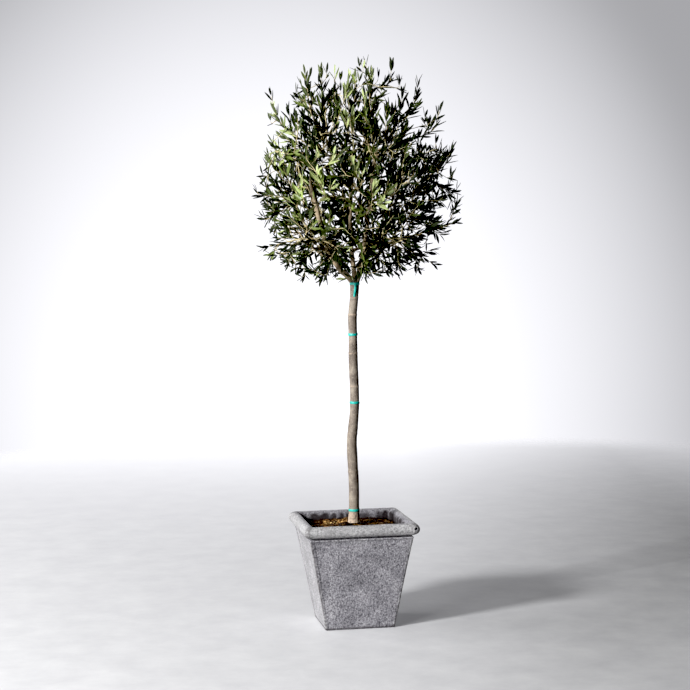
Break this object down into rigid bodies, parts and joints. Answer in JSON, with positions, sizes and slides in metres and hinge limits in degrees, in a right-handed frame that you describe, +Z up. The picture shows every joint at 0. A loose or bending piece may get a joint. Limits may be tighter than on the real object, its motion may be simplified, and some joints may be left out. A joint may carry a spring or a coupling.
{
  "type": "potted olive tree",
  "caption": "Small standard olive tree with a bare trunk and a loose round head of leaves, in a tapered square planter with a rolled rim.",
  "frame": {"origin": "centre of the planter's flat underside", "axes": "+Z up along the trunk, -Y out of the planter's front face, +X to the right of that face"},
  "size_m": [0.7718, 0.7078, 2.0738],
  "materials": {
    "fibre_clay": "cast fibre clay, mottled grey, with worn lighter edges",
    "bark_mix": "damp bark and coconut fibre mix",
    "bark": "smooth grey-beige young bark",
    "tie_plastic": "turquoise soft plastic band",
    "foliage": "leathery grey-green leaves, silvery underneath"
  },
  "bodies": {
    "root": {"pot": "fibre_clay", "soil": "bark_mix", "trunk": "bark", "tie_foot": "tie_plastic", "tie_low": "tie_plastic", "tie_high": "tie_plastic", "tie_fork": "tie_plastic", "bough_left": "bark", "bough_right": "bark", "bough_back": "bark", "bough_lower_front_left": "bark", "bough_lower_front_right": "bark", "bough_lower_back_right": "bark", "bough_lower_back_left": "bark", "bough_middle_front": "bark", "bough_middle_right": "bark", "bough_middle_back": "bark", "bough_middle_left": "bark", "foliage_lower_front_left": "foliage", "foliage_lower_front_right": "foliage", "foliage_lower_back_right": "foliage", "foliage_lower_back_left": "foliage", "foliage_middle_front": "foliage", "foliage_middle_right": "foliage", "foliage_middle_back": "foliage", "foliage_middle_left": "foliage", "foliage_top_left": "foliage", "foliage_top_right": "foliage", "foliage_top_back": "foliage"}
  },
  "joints": []
}
